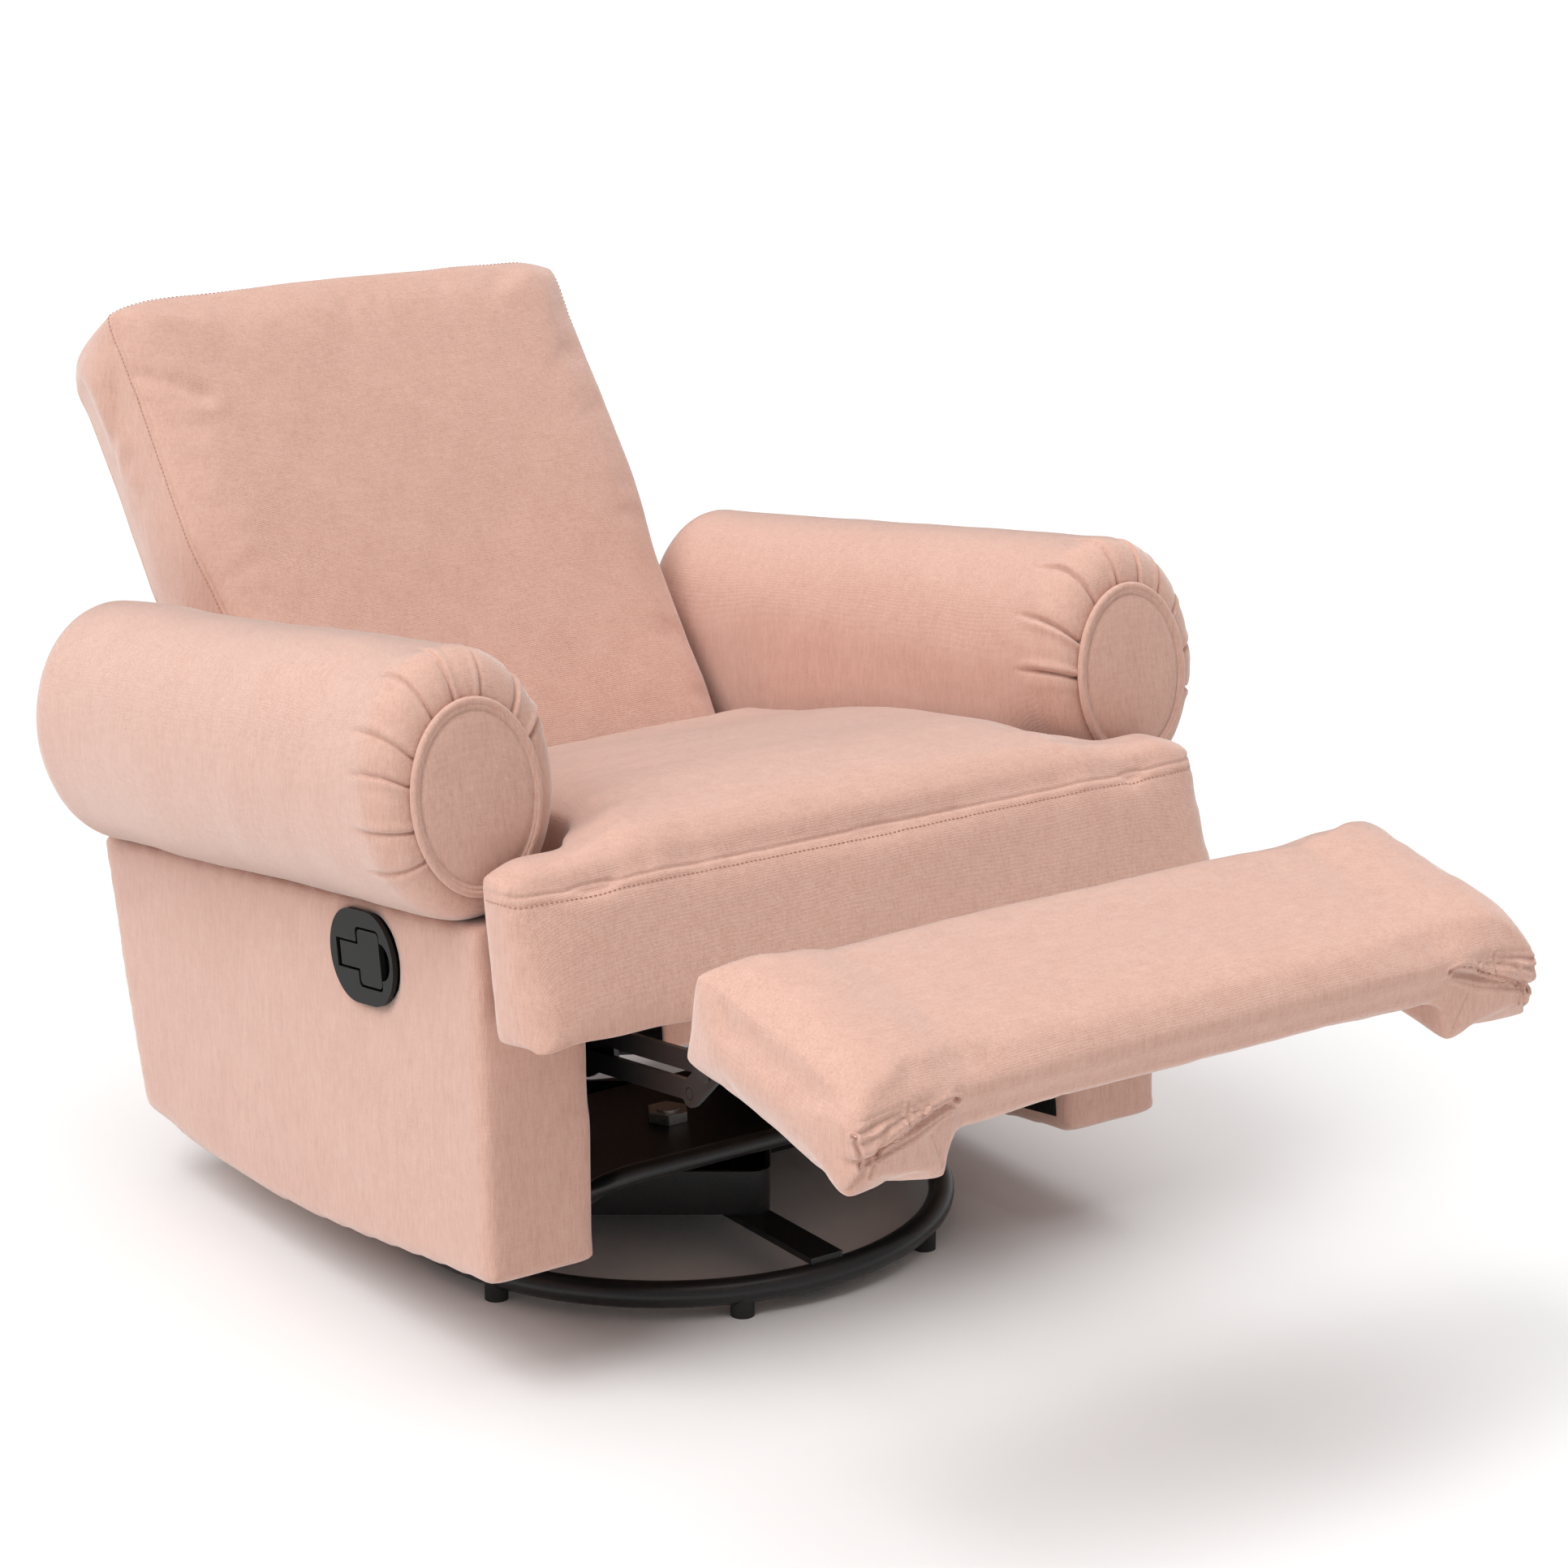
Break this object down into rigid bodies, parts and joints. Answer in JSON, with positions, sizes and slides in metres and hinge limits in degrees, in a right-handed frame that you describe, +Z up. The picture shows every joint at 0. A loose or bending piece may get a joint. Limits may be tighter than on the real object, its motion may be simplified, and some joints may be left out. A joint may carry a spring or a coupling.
{
  "type": "glider nursery chair",
  "caption": "Upholstered swivel glider recliner with rolled arms, T-shaped seat cushion, fold-out padded footrest and side release, on a round steel ring base.",
  "frame": {"origin": "on the floor, on the axis that the chair swivels about", "axes": "+Z up, the chair faces -Y, +X is to the right of someone who faces the chair"},
  "size_m": [0.8859, 1.4881, 0.8129],
  "materials": {
    "blush_fabric": "heathered woven chenille",
    "black_steel": "satin black paint",
    "hardwood": "planed, bare",
    "webbing": "woven elastic strap",
    "charcoal_plastic": "fine moulded grain",
    "cable_sheath": "smooth sheath",
    "bright_steel": "zinc plated",
    "foot_rubber": "matt"
  },
  "bodies": {
    "base": {"base_ring": "black_steel", "base_cross": "black_steel", "base_feet": "foot_rubber", "swivel_housing": "black_steel", "bearing_ring": "black_steel", "swivel_spindle": "bright_steel", "spindle_nut": "bright_steel"},
    "turntable": {"turntable_plate": "black_steel", "glide_upright_left": "black_steel", "glide_upright_right": "black_steel"},
    "front_swing": {"swing_link_front_left": "black_steel", "swing_link_front_right": "black_steel"},
    "rear_swing": {"swing_link_rear_left": "black_steel", "swing_link_rear_right": "black_steel"},
    "carriage": {"carriage_rail_left": "black_steel", "carriage_rail_right": "black_steel", "carriage_front_tube": "black_steel", "carriage_rear_tube": "black_steel"},
    "body": {"side_plate_left": "black_steel", "side_plate_right": "black_steel", "seat_rail_front": "hardwood", "seat_rail_rear": "hardwood", "seat_rail_side_left": "hardwood", "seat_rail_side_right": "hardwood", "seat_webbing": "webbing", "seat_cushion": "blush_fabric", "seat_flap": "blush_fabric", "rear_panel": "blush_fabric", "release_bezel": "charcoal_plastic", "release_cable": "cable_sheath", "arm_panel_left": "blush_fabric", "arm_panel_right": "blush_fabric", "arm_roll_left": "blush_fabric", "arm_roll_right": "blush_fabric", "arm_disc_left": "blush_fabric", "arm_disc_right": "blush_fabric"},
    "backrest": {"back_rail_top": "hardwood", "back_cushion": "blush_fabric", "back_outer": "blush_fabric", "back_bracket_left": "black_steel", "back_bracket_right": "black_steel", "back_stile_left": "hardwood", "back_stile_right": "hardwood"},
    "drive_links": {"drive_tube": "black_steel", "drive_link_left": "black_steel", "drive_link_right": "black_steel"},
    "guide_links": {"guide_link_left": "black_steel", "guide_link_right": "black_steel"},
    "elbow": {"elbow_plate_left": "black_steel", "elbow_plate_right": "black_steel"},
    "thrust_links": {"thrust_link_left": "black_steel", "thrust_link_right": "black_steel"},
    "footrest": {"footrest_board": "hardwood", "footrest_pad": "blush_fabric", "footrest_block_left": "blush_fabric", "footrest_block_right": "blush_fabric", "footrest_bracket_left": "black_steel", "footrest_bracket_right": "black_steel"},
    "paddle": {"release_paddle": "charcoal_plastic"}
  },
  "joints": [
    {"name": "swivel", "type": "hinge", "parent": "base", "child": "turntable", "pos_m": [0, 0, 0.09], "axis": [0, 0, 1], "continuous": true},
    {"name": "glide", "type": "hinge", "parent": "turntable", "child": "front_swing", "pos_m": [0, -0.078, 0.185], "axis": [1, 0, 0], "range_deg": [-20, 20]},
    {"name": "glide_rear", "type": "hinge", "parent": "turntable", "child": "rear_swing", "pos_m": [0, 0.078, 0.185], "axis": [1, 0, 0], "range_deg": [-20, 20]},
    {"name": "glide_carriage", "type": "hinge", "parent": "front_swing", "child": "carriage", "pos_m": [0, -0.078, 0.075], "axis": [1, 0, 0], "range_deg": [-20, 20]},
    {"name": "body_tilt", "type": "hinge", "parent": "carriage", "child": "body", "pos_m": [0, 0.01, 0.2], "axis": [1, 0, 0], "range_deg": [0, 8]},
    {"name": "recline", "type": "hinge", "parent": "body", "child": "backrest", "pos_m": [0, 0.30262, 0.32101], "axis": [1, 0, 0], "range_deg": [0, 18]},
    {"name": "footrest_drive", "type": "hinge", "parent": "body", "child": "drive_links", "pos_m": [0, -0.22129, 0.29365], "axis": [1, 0, 0], "range_deg": [0, 111.75]},
    {"name": "footrest_guide", "type": "hinge", "parent": "body", "child": "guide_links", "pos_m": [0, -0.18925, 0.2629], "axis": [1, 0, 0], "range_deg": [0, 111.75]},
    {"name": "footrest_elbow", "type": "hinge", "parent": "drive_links", "child": "elbow", "pos_m": [0, -0.41962, 0.31951], "axis": [1, 0, 0], "range_deg": [-111.75, 0]},
    {"name": "footrest_thrust", "type": "hinge", "parent": "drive_links", "child": "thrust_links", "pos_m": [0, -0.41962, 0.31951], "axis": [1, 0, 0], "range_deg": [-140.34, 0]},
    {"name": "footrest_turn", "type": "hinge", "parent": "thrust_links", "child": "footrest", "pos_m": [0, -0.62175, 0.39425], "axis": [1, 0, 0], "range_deg": [0, 99.69]},
    {"name": "release", "type": "hinge", "parent": "body", "child": "paddle", "pos_m": [-0.363, -0.051, 0.34849], "axis": [0, -0.1392, -0.9903], "range_deg": [0, 20], "stiffness_Nm_per_rad": 0.25, "springref_deg": -8.59}
  ],
  "couplings": [
    {"joint": "glide_rear", "follows": "glide", "ratio": 1},
    {"joint": "glide_carriage", "follows": "glide", "ratio": -1},
    {"joint": "recline", "follows": "body_tilt", "ratio": 2.25},
    {"joint": "footrest_guide", "follows": "footrest_drive", "ratio": 1},
    {"joint": "footrest_elbow", "follows": "footrest_drive", "ratio": -1},
    {"joint": "footrest_thrust", "follows": "footrest_drive", "ratio": -1.2557},
    {"joint": "footrest_turn", "follows": "footrest_drive", "ratio": 0.89199}
  ]
}
